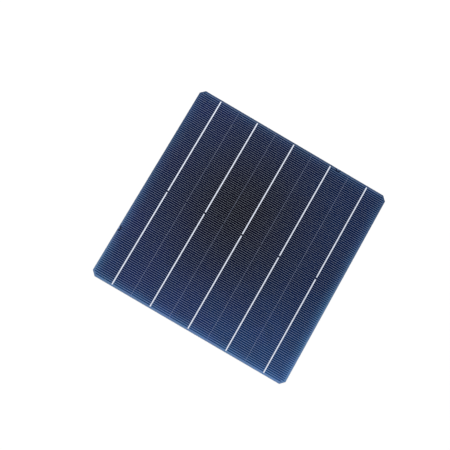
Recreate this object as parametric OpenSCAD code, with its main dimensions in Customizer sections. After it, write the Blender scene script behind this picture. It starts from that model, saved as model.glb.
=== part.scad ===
// Crystalline silicon solar cell with printed contacts, lying on its rear face.
// X runs along the fingers, Y along the busbars and Z out of the sunny face.
// The origin is under the centre of the cell, on the plane that its rear rests on.

/* [Wafer] */
// Side of the square wafer
wafer_w = 156.75; // [125:0.25:182]
// Thickness of the silicon
wafer_t = 0.2; // [0.15:0.01:0.3]
// Leg of the 45 degree cut at each corner
corner_cut = 3.3; // [1:0.1:8]

/* [Front fingers] */
// Distance between neighbouring fingers
finger_pitch = 1.495; // [1.2:0.005:2.4]
// Width of a printed finger
finger_w = 0.08; // [0.04:0.01:0.15]
// Height of a printed finger
finger_h = 0.016; // [0.01:0.001:0.03]
// Bare silicon between a finger's end and the wafer's edge
finger_end_margin = 1.3; // [0.6:0.05:2]
// Least bare silicon between the outermost finger and the wafer's edge
finger_row_margin = 1.3; // [1.2:0.05:3]
// Width of the thin line that ties the fingers together midway between two busbars
tie_line_w = 0.06; // [0.04:0.01:0.15]

/* [Front busbars] */
// Number of busbars
busbar_count = 5; // [3:1:6]
// Width of a busbar
busbar_w = 0.9; // [0.5:0.05:2]
// Height of the printed busbar
busbar_h = 0.02; // [0.01:0.001:0.04]
// Gap between the two halves of a busbar at the middle of the cell
busbar_gap = 1.3; // [0.5:0.05:3]
// How far a busbar runs past its first finger, towards the middle gap
busbar_lead = 0.05; // [0.02:0.01:0.3]
// Length of the tapered tip that runs past the last finger
busbar_tip_l = 0.3; // [0.1:0.05:0.8]
// Width at the end of the tapered tip
busbar_tip_w = 0.4; // [0.1:0.05:0.5]

/* [Rear aluminium] */
// Thickness of the printed aluminium field
rear_al_t = 0.03; // [0.02:0.005:0.06]
// Bare silicon between the aluminium and the wafer's edge
rear_al_margin = 1.2; // [0.5:0.1:3]

/* [Rear pads] */
// Number of solder pads behind each half of a busbar
pads_per_half = 3; // [1:1:4]
// Length of a solder pad
pad_l = 14; // [6:0.5:15]
// Width of a solder pad
pad_w = 2; // [1:0.1:4]
// Thickness of a solder pad
pad_t = 0.015; // [0.01:0.001:0.02]

/* [Hidden] */
HALVES = ["upper", "lower"];
bank_count = busbar_count + 1;

// Levels above the plane that the cell rests on
wafer_z = rear_al_t;
front_z = wafer_z + wafer_t;
pad_z = rear_al_t - pad_t;

// Each busbar stands in the middle of an equal share of the fingers' length
finger_span = wafer_w - 2 * finger_end_margin;
busbar_pitch = finger_span / busbar_count;

// Rows of fingers in one half, counted from the middle gap outwards
first_row_y = busbar_gap / 2 + busbar_lead + finger_w / 2;
row_count = 1 + floor((wafer_w / 2 - finger_row_margin - first_row_y) / finger_pitch);
last_row_y = first_row_y + (row_count - 1) * finger_pitch;
rows = [for (i = [0:row_count - 1]) first_row_y + i * finger_pitch];

// Ends of one half of a busbar
busbar_start_y = busbar_gap / 2;
busbar_shoulder_y = last_row_y + finger_w / 2;
busbar_end_y = busbar_shoulder_y + busbar_tip_l;

// Pads share the length of the aluminium field evenly
pad_pitch = (wafer_w / 2 - rear_al_margin) / pads_per_half;
pad_rows = [for (i = [0:pads_per_half - 1], side = [-1, 1]) side * (i + 0.5) * pad_pitch];

// Place of a busbar across the cell, counted from the -X side
function busbar_x(i) = (i - (busbar_count + 1) / 2) * busbar_pitch;

// How far a finger of the row at y may reach: it stops short of the side and of the corner cut
function finger_reach(y) = min(
    finger_span / 2,
    wafer_w - corner_cut - sqrt(2) * finger_end_margin - y - finger_w / 2
);

// A bank lies between two busbars, or between an outer busbar and the wafer's side
function bank_start(i, y) = i == 1 ? -finger_reach(y) : busbar_x(i - 1) + busbar_w / 2;
function bank_end(i, y) = i == bank_count ? finger_reach(y) : busbar_x(i) - busbar_w / 2;

// Outline of the wafer with its cut corners, drawn in by the same distance all round
module wafer_outline(inset = 0) {
    intersection() {
        square(wafer_w - 2 * inset, center = true);
        rotate(45)
            square(sqrt(2) * (wafer_w - corner_cut) - 2 * inset, center = true);
    }
}

// The lower half of the front is the mirror image of the upper half
module on_half(half) {
    mirror([0, half == "lower" ? 1 : 0, 0])
        children();
}

// Outlines of the pads in one row, which are also the windows in the aluminium
module pad_row_outline(i) {
    for (y = pad_rows)
        translate([busbar_x(i), y])
            square([pad_w, pad_l], center = true);
}

module silicon_wafer() {
    color("#16203f")
        translate([0, 0, wafer_z])
            linear_extrude(wafer_t)
                wafer_outline();
}

module rear_aluminium() {
    color("#8f9397")
        linear_extrude(rear_al_t)
            difference() {
                wafer_outline(rear_al_margin);
                for (i = [1:busbar_count])
                    pad_row_outline(i);
            }
}

module rear_pad_row(i) {
    color("#c8cacc")
        translate([0, 0, pad_z])
            linear_extrude(pad_t)
                pad_row_outline(i);
}

module front_busbar(i, half) {
    color("#dfe2ea")
        translate([busbar_x(i), 0, front_z])
            on_half(half)
                linear_extrude(busbar_h)
                    polygon([
                        [-busbar_w / 2, busbar_start_y],
                        [busbar_w / 2, busbar_start_y],
                        [busbar_w / 2, busbar_shoulder_y],
                        [busbar_tip_w / 2, busbar_end_y],
                        [-busbar_tip_w / 2, busbar_end_y],
                        [-busbar_w / 2, busbar_shoulder_y]
                    ]);
}

// The tie line runs from the first finger of its bank to the last one
module tie_line(i) {
    mid_x = (busbar_x(i - 1) + busbar_x(i)) / 2;
    tie_l = last_row_y - first_row_y + finger_w;
    translate([mid_x - tie_line_w / 2, first_row_y - finger_w / 2])
        square([tie_line_w, tie_l]);
}

// The fingers butt the sides of the busbars; only the inner banks have a tie line
module finger_bank(i, half) {
    color("#aab2c4")
        translate([0, 0, front_z])
            on_half(half)
                linear_extrude(finger_h) {
                    for (y = rows)
                        translate([bank_start(i, y), y - finger_w / 2])
                            square([bank_end(i, y) - bank_start(i, y), finger_w]);
                    if (i > 1 && i < bank_count)
                        tie_line(i);
                }
}

silicon_wafer();
rear_aluminium();
for (i = [1:busbar_count])
    rear_pad_row(i);
for (i = [1:busbar_count], half = HALVES)
    front_busbar(i, half);
for (i = [1:bank_count], half = HALVES)
    finger_bank(i, half);
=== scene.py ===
"""Dresses the solar cell in its finishes and sets it on a white studio floor."""

import math

import bmesh
import bpy
from bpy.props import FloatProperty, FloatVectorProperty, PointerProperty
from mathutils import Matrix, Vector


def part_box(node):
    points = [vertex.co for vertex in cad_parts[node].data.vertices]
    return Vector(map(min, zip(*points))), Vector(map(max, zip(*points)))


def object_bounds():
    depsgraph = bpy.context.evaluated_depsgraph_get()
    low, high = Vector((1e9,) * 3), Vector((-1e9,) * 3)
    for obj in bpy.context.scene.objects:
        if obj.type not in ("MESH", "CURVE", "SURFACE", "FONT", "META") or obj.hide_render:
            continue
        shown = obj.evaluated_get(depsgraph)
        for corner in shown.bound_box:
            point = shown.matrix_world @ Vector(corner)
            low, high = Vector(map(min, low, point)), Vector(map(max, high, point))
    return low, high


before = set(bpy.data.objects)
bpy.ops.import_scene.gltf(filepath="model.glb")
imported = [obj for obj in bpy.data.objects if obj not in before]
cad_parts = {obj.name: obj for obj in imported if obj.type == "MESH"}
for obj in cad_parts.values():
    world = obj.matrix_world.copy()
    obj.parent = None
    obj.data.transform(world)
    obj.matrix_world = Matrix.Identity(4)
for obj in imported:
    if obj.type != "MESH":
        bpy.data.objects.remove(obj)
cad_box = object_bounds()

bl_info = {
    "name": "Solar Cell Finishes",
    "version": (1, 0, 0),
    "blender": (4, 5, 0),
    "location": "3D View > Sidebar > Solar Cell",
    "description": "Finishes and studio for a crystalline solar cell with printed contacts",
    "category": "Material",
}

MM = 0.001
WHITE = (1.0, 1.0, 1.0, 1.0)

# Values of soft noise between which one tone turns into the other
MOTTLE_RANGE = (0.3, 0.7)
TINT_RANGE = (0.35, 0.65)
SPECK_RANGE = (0.62, 0.72)

# Power with which the glow along the edges falls off inwards
EDGE_FALL = 2.0

# Where the ring of an edge mark rises and fades, and where its core fades, in shares of its reach
RING_RISE = (0.4, 0.9)
RING_FADE = (1.1, 1.6)
CORE_FADE = (0.0, 0.8)

# Sides, corner cuts and front face of the wafer, read from its solid
wafer_low, wafer_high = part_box("silicon_wafer")
wafer_points = [v.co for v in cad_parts["silicon_wafer"].data.vertices]
HALF_SIDE = wafer_high.x
FRONT_Z = wafer_high.z
CORNER_SUM = max(abs(point.x) + abs(point.y) for point in wafer_points)

# Rows of fingers, read from one bank: each finger has two long sides
bank_points = [v.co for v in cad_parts["finger_bank_1_upper"].data.vertices]
bank_sides = sorted({round(point.y / MM, 3) for point in bank_points})
FIRST_ROW = MM * (bank_sides[0] + bank_sides[1]) / 2
FINGER_PITCH = MM * (bank_sides[2] - bank_sides[0])
FINGER_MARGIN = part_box("finger_bank_1_upper")[0].x - wafer_low.x

# Busbars stand at the middle and at one and two pitches from it, with a tie line midway between two
outer_low, outer_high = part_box("front_busbar_5_upper")
OUTER_BUSBAR = (outer_low.x + outer_high.x) / 2
BUSBAR_PITCH = OUTER_BUSBAR / 2


def srgb(code):
    """A colour written as #rrggbb, as the linear values that Blender's colours hold."""
    shares = [int(code[i : i + 2], 16) / 255 for i in (1, 3, 5)]
    return tuple(s / 12.92 if s <= 0.04045 else ((s + 0.055) / 1.055) ** 2.4 for s in shares)


def colour(name, description, code):
    """A colour property with its default written as #rrggbb."""
    return FloatVectorProperty(
        name=name, description=description, default=srgb(code), subtype="COLOR", min=0.0, max=1.0
    )


def length(name, description, metres):
    """A length property."""
    return FloatProperty(
        name=name, description=description, default=metres, unit="LENGTH", precision=5
    )


def share(name, description, value):
    """A property that is a share from 0 to 1."""
    return FloatProperty(
        name=name, description=description, default=value, subtype="FACTOR", min=0.0, max=1.0
    )


def angle(name, description, degrees):
    """An angle property with its default in degrees."""
    return FloatProperty(
        name=name, description=description, default=math.radians(degrees), subtype="ANGLE"
    )


def power(name, description, watts):
    """A lamp power property."""
    return FloatProperty(name=name, description=description, default=watts, unit="POWER")


class WaferLook(bpy.types.PropertyGroup):
    """Colours and patterns of the coated silicon wafer."""

    heart_colour: colour("Heart", "Coat at the dark heart of the cell", "#050313")
    left_colour: colour("Left field", "Coat towards the left-hand side", "#142550")
    right_colour: colour("Right field", "Coat towards the right-hand side", "#011d46")
    heart_x: length("Heart X", "Place of the dark heart across the cell", -11.8 * MM)
    heart_y: length("Heart Y", "Place of the dark heart along the busbars", 15.5 * MM)
    heart_reach: length("Heart reach", "Where the heart has faded into the field", 100 * MM)
    # Painted light: the foot glow lightens the coat towards the foot of the cell.
    painted_foot_light: colour("Foot glow", "What the coat gains towards the foot of the cell", "#29436b")
    foot_heading: angle("Foot heading", "Direction towards the foot, from +X", -70.6)
    foot_start: length("Foot start", "Where the foot's glow begins, from the centre", 18 * MM)
    foot_end: length("Foot end", "Where the foot's glow would be full", 150 * MM)
    # Edge glow and rim: a lighter coat along the edges, made stronger towards the foot by painted
    # light.
    edge_glow: colour("Edge glow", "What the coat gains along the edges", "#325572")
    edge_w: length("Edge width", "Width of the glow along the edges", 9 * MM)
    rim_glow: colour("Rim glow", "What the coat gains on the light rim", "#4a5154")
    rim_w: length("Rim width", "Width of the light rim", 1.25 * MM)
    rim_soft: length("Rim softness", "Width over which the rim fades inwards", 0.5 * MM)
    # Painted light: the edge glow and rim are full towards the foot and weaker on the far side.
    far_edge_light: share("Weak edge", "Share of edge and rim glow left far from the foot", 0.4)
    grain_size: length("Grain size", "Size of a crystal grain", 9 * MM)
    grain_contrast: share("Grain contrast", "How far the grains differ in brightness", 0.06)
    violet_tint: colour("Violet tint", "Tint of the coat where its film is thinner", "#fff0ff")
    teal_tint: colour("Teal tint", "Tint of the coat where its film is thicker", "#ecffff")
    tint_size: length("Tint size", "Size of the patches of tint", 26 * MM)
    row_shade: share("Row shade", "How far the coat darkens midway between two fingers", 0.6)
    bleed_glow: colour("Bleed", "What the coat gains from paste beside a finger", "#53575f")
    tie_glow: colour("Tie bleed", "What the coat gains from paste beside a tie line", "#434a63")
    bleed_w: length("Bleed width", "How far paste bleeds from a line's middle", 0.26 * MM)
    # The mark ring and core paint a dark ring with a lighter core at two spots on the edges.
    mark_ring: colour("Mark ring", "Dark ring left in the coat by a holder's pin", "#0a1230")
    mark_glow: colour("Mark core", "What the coat gains inside the ring", "#4c5d80")
    mark_reach: length("Mark reach", "From a mark's middle, on the edge, to its ring", 1.75 * MM)
    left_mark_y: length("Left mark", "Place of the mark on the left-hand edge", -40.3 * MM)
    top_mark_x: length("Top mark", "Place of the mark on the upper edge", 37.0 * MM)
    bare_colour: colour("Bare silicon", "Sawn sides and uncoated rear", "#3a3f48")
    coat_edge: length("Coat edge", "How far the coat reaches down the sides", 0.02 * MM)
    roughness: share("Roughness", "Roughness of the coated face", 0.4)
    gloss: share("Gloss", "Specular level of the coated face", 0.012)
    gloss_tint: colour("Gloss tint", "Tint of the coat's gloss", "#aac4ff")
    etch_size: length("Etch size", "Size of the bumps etched into the silicon", 0.25 * MM)
    etch_depth: length("Etch depth", "Depth of the bumps etched into the silicon", 0.004 * MM)


class PrintLook(bpy.types.PropertyGroup):
    """Colours and textures of the printed contacts on both faces."""

    busbar_colour: colour("Busbars", "Fired silver of the busbars", "#d7ddea")
    busbar_roughness: share("Busbar roughness", "Roughness of the busbars", 0.42)
    busbar_metal: share("Busbar metal", "How metallic the busbars are", 0.7)
    finger_colour: colour("Fingers", "Fired silver of the fingers and tie lines", "#9097a2")
    pad_colour: colour("Rear pads", "Fired silver of the rear pads", "#ccced0")
    fine_roughness: share("Fine roughness", "Roughness of the fingers and pads", 0.5)
    fine_metal: share("Fine metal", "How metallic the fingers and pads are", 0.6)
    mottle_size: length("Mottle", "Size of the dull patches in the silver", 1.2 * MM)
    mottle_shade: share("Mottle shade", "Brightness of the dull patches", 0.86)
    mesh_pitch: length("Screen mesh", "Pitch of the marks of the printing screen", 0.09 * MM)
    mesh_depth: length("Mesh depth", "Depth of the marks of the printing screen", 0.002 * MM)
    aluminium_colour: colour("Aluminium", "Fired aluminium on the rear", "#a2a5a8")
    aluminium_roughness: share("Aluminium roughness", "Roughness of the aluminium", 0.72)
    aluminium_metal: share("Aluminium metal", "How metallic the aluminium is", 0.35)
    cloud_size: length("Clouds", "Size of the clouds in the aluminium", 14 * MM)
    cloud_shade: share("Cloud shade", "Brightness of the dark clouds", 0.82)
    speck_size: length("Specks", "Size of the grains in the aluminium", 0.4 * MM)
    speck_shade: share("Speck shade", "Brightness of the dark grains", 0.6)
    speck_share: share("Speck strength", "How strongly the dark grains show", 0.35)
    speck_depth: length("Speck depth", "Height of the grains", 0.006 * MM)


class StageLook(bpy.types.PropertyGroup):
    """Camera, lights and floor."""

    target_x: length("Target X", "Point on the floor that the camera looks at", -14.05 * MM)
    target_y: length("Target Y", "Point on the floor that the camera looks at", 0.02 * MM)
    distance: length("Distance", "From the camera to its target", 716 * MM)
    azimuth: angle("Azimuth", "Direction of the camera round the cell, from +X", -95.73)
    elevation: angle("Elevation", "Height of the camera above the floor", 79.73)
    roll: angle("Roll", "Turn of the camera about its own axis", 36.03)
    lens: FloatProperty(
        name="Lens",
        description="Focal length in millimetres",
        default=80.0,
        subtype="DISTANCE_CAMERA",
    )
    ambient: FloatProperty(name="Ambient", description="Even light from all round", default=0.7)
    key_power: power("Key", "Main softbox", 9.0)
    key_azimuth: angle("Key azimuth", "Direction of the main softbox, from +X", 150)
    key_elevation: angle("Key elevation", "Height of the main softbox above the floor", 48)
    fill_power: power("Fill", "Second softbox", 4.0)
    fill_azimuth: angle("Fill azimuth", "Direction of the second softbox, from +X", -20)
    fill_elevation: angle("Fill elevation", "Height of the second softbox above the floor", 42)
    softbox_distance: length("Softbox distance", "From the cell to each softbox", 1.6)
    softbox_side: length("Softbox side", "Side of each square softbox", 1.2)
    floor_colour: colour("Floor", "Pale studio floor", "#f4f4f4")
    floor_half: length("Floor reach", "From the middle of the floor to its sides", 6.0)
    floor_drop: length("Floor drop", "Gap between the floor and the rear face", 0.01 * MM)
    floor_glow: share("Floor glow", "What lifts the floor to white near the cell", 0.12)
    far_glow: share("Far floor glow", "What lifts the floor to white far away", 0.4)
    near_reach: length("Near floor", "Where the floor's glow starts to grow", 4 * HALF_SIDE)
    far_reach: length("Far floor", "Where the floor's glow is full", 20 * HALF_SIDE)


class FinishNodes:
    """The node tree of a material or world while it is put together."""

    def __init__(self, owner):
        self.owner = owner
        owner.use_nodes = True
        self.tree = owner.node_tree
        self.tree.nodes.clear()

    def add(self, kind, inputs=None, **settings):
        """Adds a node with its options, and fills or links its inputs."""
        node = self.tree.nodes.new(kind)
        for name, value in settings.items():
            setattr(node, name, value)
        for name, value in (inputs or {}).items():
            if isinstance(value, bpy.types.NodeSocket):
                self.tree.links.new(value, node.inputs[name])
            else:
                node.inputs[name].default_value = value
        return node

    def place(self):
        """Object coordinates, in metres in the cell's own frame."""
        return self.add("ShaderNodeTexCoord").outputs["Object"]

    def split(self, vector):
        """X, Y and Z of a vector."""
        return self.add("ShaderNodeSeparateXYZ", {"Vector": vector}).outputs

    def maths(self, operation, first, second=0.0):
        """One sum on two values."""
        node = self.add("ShaderNodeMath", {0: first, 1: second}, operation=operation)
        return node.outputs[0]

    def vector_maths(self, operation, first, second, output=0):
        """One sum on two vectors."""
        node = self.add("ShaderNodeVectorMath", {0: first, 1: second}, operation=operation)
        return node.outputs[output]

    def ramp(self, value, start, end, low=0.0, high=1.0, kind="LINEAR"):
        """A straight ramp from low at start to high at end, level on both sides of it."""
        inputs = {"Value": value, "From Min": start, "From Max": end, "To Min": low, "To Max": high}
        return self.add("ShaderNodeMapRange", inputs, interpolation_type=kind).outputs["Result"]

    def step(self, value, start, end, low=0.0, high=1.0):
        """A smooth step from low at start to high at end."""
        return self.ramp(value, start, end, low, high, "SMOOTHSTEP")

    def blend(self, factor, first, second, kind="MIX"):
        """Two colours blended by a factor."""
        inputs = {"Factor": factor, 6: as_colour(first), 7: as_colour(second)}
        node = self.add("ShaderNodeMix", inputs, data_type="RGBA", blend_type=kind)
        return node.outputs[2]

    def grey(self, value):
        """A colour whose three parts are the same value."""
        return self.add("ShaderNodeCombineColor", {0: value, 1: value, 2: value}).outputs[0]

    def noise(self, vector, size, detail=2.0):
        """Soft noise whose lumps are about as large as size."""
        inputs = {"Vector": vector, "Scale": 1 / size, "Detail": detail}
        return self.add("ShaderNodeTexNoise", inputs).outputs["Fac"]

    def bump(self, height, depth):
        """A normal pushed by a height from 0 to 1 that stands for a real depth."""
        inputs = {"Height": height, "Strength": 1.0, "Distance": depth}
        return self.add("ShaderNodeBump", inputs).outputs["Normal"]

    def surface(self, inputs):
        """Closes the material with a Principled shader."""
        shader = self.add("ShaderNodeBsdfPrincipled", inputs)
        self.add("ShaderNodeOutputMaterial", {"Surface": shader.outputs[0]})
        return self.owner


def new_finish(name):
    """An empty node material."""
    return FinishNodes(bpy.data.materials.new(name))


def as_colour(value):
    """A colour socket's value from a socket or from three numbers."""
    return value if isinstance(value, bpy.types.NodeSocket) else (*value, 1.0)


def shaded(tone, brightness):
    """A colour made darker."""
    return tuple(brightness * part for part in tone)


def paint(material, nodes):
    """Gives a material to CAD nodes."""
    for name in nodes:
        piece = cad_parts[name]
        for place in piece.material_slots:
            place.material = material


def nodes_named(start):
    """CAD nodes whose names start with a word."""
    found = sorted(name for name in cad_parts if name.startswith(start))
    if not found:
        raise RuntimeError(f"the frame has no node that starts with {start}")
    return found


def inset_from_edge(f, x, y):
    """Distance inwards from the nearest side or corner cut of the wafer."""
    across = f.maths("ABSOLUTE", x)
    along = f.maths("ABSOLUTE", y)
    from_side = f.maths("SUBTRACT", HALF_SIDE, f.maths("MAXIMUM", across, along))
    from_cut = f.maths("SUBTRACT", CORNER_SUM, f.maths("ADD", across, along))
    return f.maths("MINIMUM", from_side, f.maths("MULTIPLY", from_cut, math.sqrt(0.5)))


def distance_downhill(f, look, place):
    """Distance from the cell's centre in the direction of its foot."""
    heading = (math.cos(look.foot_heading), math.sin(look.foot_heading), 0.0)
    return f.vector_maths("DOT_PRODUCT", place, heading, "Value")


def distance_from_row(f, y):
    """Distance from the middle of the nearest finger."""
    from_first = f.maths("SUBTRACT", f.maths("ABSOLUTE", y), FIRST_ROW)
    return f.maths("PINGPONG", from_first, FINGER_PITCH / 2)


def film_colour(f, look, place, x, downhill):
    """Blue film with a dark heart, and painted light that lightens it towards its foot."""
    heart = (look.heart_x, look.heart_y, FRONT_Z)
    from_heart = f.vector_maths("DISTANCE", place, heart, "Value")
    field = f.blend(f.step(x, -HALF_SIDE, HALF_SIDE), look.left_colour, look.right_colour)
    film = f.blend(f.step(from_heart, 0.0, look.heart_reach), look.heart_colour, field)
    # Painted light that lightens the film towards the foot.
    foot = f.step(downhill, look.foot_start, look.foot_end)
    return f.blend(foot, film, look.painted_foot_light, "ADD")


def add_edge_glow(f, look, coat, inset, strength):
    """Lightens the coat towards the wafer's edges; its strength, full towards the foot, is painted
    light.
    """
    edge = f.maths("POWER", f.ramp(inset, 0.0, look.edge_w, 1.0, 0.0), EDGE_FALL)
    return f.blend(f.maths("MULTIPLY", edge, strength), coat, look.edge_glow, "ADD")


def grain_shade(f, look, place):
    """Brightness of the crystal grains, which have wandering borders."""
    scale = 1 / look.grain_size
    wander = f.add("ShaderNodeTexNoise", {"Vector": place, "Scale": scale}).outputs["Color"]
    warped = f.add(
        "ShaderNodeVectorMath",
        {0: wander, 1: (look.grain_size,) * 3, 2: place},
        operation="MULTIPLY_ADD",
    ).outputs[0]
    grain = f.add(
        "ShaderNodeTexVoronoi", {"Vector": warped, "Scale": scale}, voronoi_dimensions="2D"
    ).outputs["Color"]
    contrast = look.grain_contrast
    return f.grey(f.step(f.split(grain)[0], 0.0, 1.0, 1 - contrast, 1 + contrast))


def add_grains_and_tints(f, look, coat, place):
    """Shades the crystal grains, and tints the coat where its film is thinner or thicker."""
    coat = f.blend(1.0, coat, grain_shade(f, look, place), "MULTIPLY")
    thickness = f.step(f.noise(place, look.tint_size), *TINT_RANGE)
    tint = f.blend(thickness, look.violet_tint, look.teal_tint)
    return f.blend(1.0, coat, tint, "MULTIPLY")


def row_shade(f, look, from_row, printed):
    """Brightness of the coat, which darkens between the fingers and is even in the margin."""
    depth = f.maths("MULTIPLY", printed, look.row_shade)
    bright = f.maths("ADD", 1.0, depth)
    dark = f.maths("SUBTRACT", 1.0, depth)
    return f.grey(f.step(from_row, 0.0, FINGER_PITCH / 2, bright, dark))


def tie_share(f, look, x, y):
    """How much paste has bled onto the coat beside the tie lines, from 0 to 1."""
    across = f.maths("ABSOLUTE", x)
    from_first = f.maths("SUBTRACT", across, BUSBAR_PITCH / 2)
    from_tie = f.maths("PINGPONG", from_first, BUSBAR_PITCH / 2)
    bleed = f.step(from_tie, 0.0, look.bleed_w, 1.0, 0.0)
    in_banks = f.maths("LESS_THAN", across, OUTER_BUSBAR)
    in_halves = f.maths("GREATER_THAN", f.maths("ABSOLUTE", y), FIRST_ROW)
    return f.maths("MULTIPLY", bleed, f.maths("MULTIPLY", in_banks, in_halves))


def add_bled_paste(f, look, coat, x, y, inset):
    """Darkens the coat between the fingers, and adds paste beside the fingers and tie lines."""
    from_row = distance_from_row(f, y)
    printed = f.step(inset, FINGER_MARGIN - look.bleed_w, FINGER_MARGIN)
    coat = f.blend(1.0, coat, row_shade(f, look, from_row, printed), "MULTIPLY")
    rows = f.maths("MULTIPLY", printed, f.step(from_row, 0.0, look.bleed_w, 1.0, 0.0))
    coat = f.blend(rows, coat, look.bleed_glow, "ADD")
    ties = f.maths("MULTIPLY", printed, tie_share(f, look, x, y))
    return f.blend(ties, coat, look.tie_glow, "ADD")


def add_rim(f, look, coat, inset, strength):
    """Adds the light rim along the wafer's edges; its strength, full towards the foot, is painted
    light.
    """
    half_soft = look.rim_soft / 2
    rim = f.step(inset, look.rim_w - half_soft, look.rim_w + half_soft, 1.0, 0.0)
    return f.blend(f.maths("MULTIPLY", rim, strength), coat, look.rim_glow, "ADD")


def add_edge_mark(f, look, coat, place, inset, middle):
    """A half disc on the edge, with a dark ring and a lighter core."""
    from_middle = f.vector_maths("DISTANCE", place, middle, "Value")
    away = f.maths("DIVIDE", from_middle, look.mark_reach)
    ring = f.maths("MULTIPLY", f.step(away, *RING_RISE), f.step(away, *RING_FADE, 1.0, 0.0))
    inside = f.step(inset, 0.0, look.rim_w)
    coat = f.blend(f.maths("MULTIPLY", ring, inside), coat, look.mark_ring)
    return f.blend(f.step(away, *CORE_FADE, 1.0, 0.0), coat, look.mark_glow, "ADD")


def coat_colour(f, look, place):
    """The coat of the front face, from its film to the marks on its edges."""
    x, y = f.split(place)[:2]
    inset = inset_from_edge(f, x, y)
    downhill = distance_downhill(f, look, place)
    # Painted light: the edge glow and rim grow stronger towards the foot.
    edge_light_share = f.step(downhill, -HALF_SIDE, HALF_SIDE, look.far_edge_light, 1.0)
    coat = film_colour(f, look, place, x, downhill)
    coat = add_edge_glow(f, look, coat, inset, edge_light_share)
    coat = add_grains_and_tints(f, look, coat, place)
    coat = add_bled_paste(f, look, coat, x, y, inset)
    coat = add_rim(f, look, coat, inset, edge_light_share)
    left_mark = (-HALF_SIDE, look.left_mark_y, FRONT_Z)
    top_mark = (look.top_mark_x, HALF_SIDE, FRONT_Z)
    for middle in (left_mark, top_mark):
        coat = add_edge_mark(f, look, coat, place, inset, middle)
    return coat


def coated_silicon(look):
    """The coat on the front face, and bare sawn silicon on the sides and the rear."""
    f = new_finish("coated_silicon")
    place = f.place()
    front = f.step(f.split(place)[2], FRONT_Z - look.coat_edge, FRONT_Z)
    return f.surface(
        {
            "Base Color": f.blend(front, look.bare_colour, coat_colour(f, look, place)),
            "Roughness": look.roughness,
            "Specular IOR Level": look.gloss,
            "Specular Tint": as_colour(look.gloss_tint),
            "Normal": f.bump(f.noise(place, look.etch_size), look.etch_depth),
        }
    )


def fired_silver(name, look, tone, roughness, metallic):
    """Fired silver print: a satin metal with the marks of the printing screen."""
    f = new_finish(name)
    place = f.place()
    x, y = f.split(place)[:2]
    mottle = f.step(f.noise(place, look.mottle_size, detail=4.0), *MOTTLE_RANGE)
    wave = 2 * math.pi / look.mesh_pitch
    weave = f.maths(
        "MULTIPLY",
        f.maths("SINE", f.maths("MULTIPLY", f.maths("ADD", x, y), wave)),
        f.maths("SINE", f.maths("MULTIPLY", f.maths("SUBTRACT", x, y), wave)),
    )
    return f.surface(
        {
            "Base Color": f.blend(mottle, shaded(tone, look.mottle_shade), tone),
            "Metallic": metallic,
            "Roughness": roughness,
            "Normal": f.bump(weave, look.mesh_depth),
        }
    )


def aluminium_print(look):
    """Fired aluminium paste: matt grey with soft clouds and fine grains."""
    f = new_finish("aluminium_print")
    place = f.place()
    tone = look.aluminium_colour
    clouds = f.step(f.noise(place, look.cloud_size, detail=3.0), *MOTTLE_RANGE)
    grains = f.noise(place, look.speck_size)
    specks = f.step(grains, *SPECK_RANGE, 0.0, look.speck_share)
    base = f.blend(clouds, shaded(tone, look.cloud_shade), tone)
    return f.surface(
        {
            "Base Color": f.blend(specks, base, shaded(tone, look.speck_shade)),
            "Metallic": look.aluminium_metal,
            "Roughness": look.aluminium_roughness,
            "Normal": f.bump(grains, look.speck_depth),
        }
    )


def studio_floor(look):
    """Pale floor that takes shadows, glows to white for the camera and vanishes from below."""
    f = new_finish("studio_floor")
    diffuse = f.add("ShaderNodeBsdfDiffuse", {"Color": as_colour(look.floor_colour)}).outputs[0]
    from_middle = f.vector_maths("DISTANCE", f.place(), (0.0, 0.0, 0.0), "Value")
    level = f.step(from_middle, look.near_reach, look.far_reach, look.floor_glow, look.far_glow)
    strength = f.maths("MULTIPLY", seen_directly(f), level)
    glow = f.add("ShaderNodeEmission", {"Strength": strength}).outputs[0]
    lit = f.add("ShaderNodeAddShader", {0: diffuse, 1: glow}).outputs[0]
    clear = f.add("ShaderNodeBsdfTransparent").outputs[0]
    below = f.add("ShaderNodeNewGeometry").outputs["Backfacing"]
    shown = f.add("ShaderNodeMixShader", {0: below, 1: lit, 2: clear}).outputs[0]
    f.add("ShaderNodeOutputMaterial", {"Surface": shown})
    return f.owner


def seen_directly(f):
    """1 for rays from the camera and for what is seen in gloss or through glass."""
    path = f.add("ShaderNodeLightPath").outputs
    gloss = f.maths("MAXIMUM", path["Is Glossy Ray"], path["Is Transmission Ray"])
    return f.maths("MAXIMUM", path["Is Camera Ray"], gloss)


def direction(azimuth, elevation):
    """Unit vector at an azimuth from +X and an elevation above the floor, in radians."""
    flat = math.cos(elevation)
    return Vector((flat * math.cos(azimuth), flat * math.sin(azimuth), math.sin(elevation)))


class SOLARCELL_OT_finish_wafer(bpy.types.Operator):
    """Coat the silicon wafer"""

    bl_idname = "solar_cell.finish_wafer"
    bl_label = "Finish Wafer"

    def execute(self, context):
        paint(coated_silicon(context.scene.wafer_look), ["silicon_wafer"])
        return {"FINISHED"}


class SOLARCELL_OT_finish_busbars(bpy.types.Operator):
    """Finish the printed busbars"""

    bl_idname = "solar_cell.finish_busbars"
    bl_label = "Finish Busbars"

    def execute(self, context):
        look = context.scene.print_look
        silver = fired_silver(
            "busbar_silver", look, look.busbar_colour, look.busbar_roughness, look.busbar_metal
        )
        paint(silver, nodes_named("front_busbar"))
        return {"FINISHED"}


class SOLARCELL_OT_finish_fingers(bpy.types.Operator):
    """Finish the printed fingers and tie lines"""

    bl_idname = "solar_cell.finish_fingers"
    bl_label = "Finish Fingers"

    def execute(self, context):
        look = context.scene.print_look
        silver = fired_silver(
            "finger_silver", look, look.finger_colour, look.fine_roughness, look.fine_metal
        )
        paint(silver, nodes_named("finger_bank"))
        return {"FINISHED"}


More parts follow.
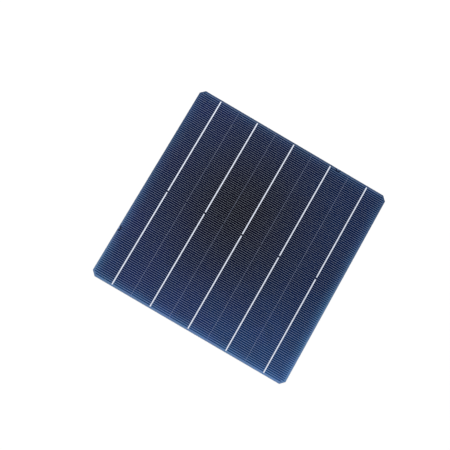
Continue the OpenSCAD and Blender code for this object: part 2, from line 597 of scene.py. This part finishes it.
class SOLARCELL_OT_finish_rear(bpy.types.Operator):
    """Finish the rear aluminium and its solder pads"""

    bl_idname = "solar_cell.finish_rear"
    bl_label = "Finish Rear"

    def execute(self, context):
        look = context.scene.print_look
        paint(aluminium_print(look), ["rear_aluminium"])
        silver = fired_silver(
            "rear_silver", look, look.pad_colour, look.fine_roughness, look.fine_metal
        )
        paint(silver, nodes_named("rear_pad_row"))
        return {"FINISHED"}


class SOLARCELL_OT_set_stage(bpy.types.Operator):
    """Set up the floor, the lights, the world and the camera"""

    bl_idname = "solar_cell.set_stage"
    bl_label = "Set Stage"

    def execute(self, context):
        look = context.scene.stage_look
        context.scene.view_settings.view_transform = "Standard"
        self.make_floor(context, look)
        self.make_world(context, look)
        key_side = direction(look.key_azimuth, look.key_elevation)
        fill_side = direction(look.fill_azimuth, look.fill_elevation)
        self.make_softbox(context, look, "key_softbox", key_side, look.key_power)
        self.make_softbox(context, look, "fill_softbox", fill_side, look.fill_power)
        self.make_camera(context, look)
        return {"FINISHED"}

    def make_floor(self, context, look):
        """A wide plane that takes the cell's shadow, but hides no light from the rear."""
        mesh = bpy.data.meshes.new("floor")
        plane = bmesh.new()
        bmesh.ops.create_grid(plane, x_segments=1, y_segments=1, size=look.floor_half)
        level = cad_box[0].z - look.floor_drop
        bmesh.ops.translate(plane, verts=plane.verts, vec=(0, 0, level))
        plane.to_mesh(mesh)
        plane.free()
        mesh.materials.append(studio_floor(look))
        floor = bpy.data.objects.new("floor", mesh)
        floor.visible_diffuse = False
        floor.visible_glossy = False
        floor.visible_shadow = False
        context.scene.collection.objects.link(floor)

    def make_world(self, context, look):
        """Even light, white where it is seen directly."""
        f = FinishNodes(bpy.data.worlds.new("studio"))
        level = f.step(seen_directly(f), 0.0, 1.0, look.ambient, 1.0)
        sky = f.add("ShaderNodeBackground", {"Color": WHITE, "Strength": level})
        f.add("ShaderNodeOutputWorld", {"Surface": sky.outputs[0]})
        context.scene.world = f.owner

    def make_softbox(self, context, look, name, towards, watts):
        """A square area light that faces the cell."""
        lamp = bpy.data.lights.new(name, "AREA")
        lamp.shape = "SQUARE"
        lamp.size = look.softbox_side
        lamp.energy = watts
        box = bpy.data.objects.new(name, lamp)
        box.location = towards * look.softbox_distance
        box.rotation_euler = towards.to_track_quat("Z", "Y").to_euler()
        context.scene.collection.objects.link(box)

    def make_camera(self, context, look):
        """The photograph's view."""
        lens = bpy.data.cameras.new("camera")
        lens.lens = look.lens
        camera = bpy.data.objects.new("camera", lens)
        back = direction(look.azimuth, look.elevation)
        side = Vector((0, 0, 1)).cross(back).normalized()
        up = back.cross(side)
        turn = Matrix.Rotation(look.roll, 3, back)
        axes = Matrix((turn @ side, turn @ up, back)).transposed()
        eye = Vector((look.target_x, look.target_y, 0)) + look.distance * back
        camera.matrix_world = Matrix.Translation(eye) @ axes.to_4x4()
        context.scene.collection.objects.link(camera)
        context.scene.camera = camera


class SOLARCELL_PT_finishes(bpy.types.Panel):
    """Sidebar panel with every setting and step"""

    bl_idname = "SOLARCELL_PT_finishes"
    bl_label = "Solar Cell"
    bl_space_type = "VIEW_3D"
    bl_region_type = "UI"
    bl_category = "Solar Cell"

    def draw(self, context):
        for look_name, steps in STEPS.items():
            box = self.layout.box()
            for setting in LOOKS[look_name].__annotations__:
                box.prop(getattr(context.scene, look_name), setting)
            for step in steps:
                box.operator(step.bl_idname)


LOOKS = {"wafer_look": WaferLook, "print_look": PrintLook, "stage_look": StageLook}
STEPS = {
    "wafer_look": [SOLARCELL_OT_finish_wafer],
    "print_look": [
        SOLARCELL_OT_finish_busbars,
        SOLARCELL_OT_finish_fingers,
        SOLARCELL_OT_finish_rear,
    ],
    "stage_look": [SOLARCELL_OT_set_stage],
}
OPERATORS = [step for steps in STEPS.values() for step in steps]
CLASSES = [*LOOKS.values(), *OPERATORS, SOLARCELL_PT_finishes]


def register():
    """Adds the classes, and the settings to the scene."""
    for item in CLASSES:
        bpy.utils.register_class(item)
    for name, group in LOOKS.items():
        setattr(bpy.types.Scene, name, PointerProperty(type=group))


def unregister():
    """Takes the settings and the classes away again."""
    for name in LOOKS:
        delattr(bpy.types.Scene, name)
    for item in reversed(CLASSES):
        bpy.utils.unregister_class(item)


def main():
    """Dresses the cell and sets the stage."""
    register()
    bpy.ops.solar_cell.finish_wafer()
    bpy.ops.solar_cell.finish_busbars()
    bpy.ops.solar_cell.finish_fingers()
    bpy.ops.solar_cell.finish_rear()
    bpy.ops.solar_cell.set_stage()


if __name__ == "__main__":
    main()
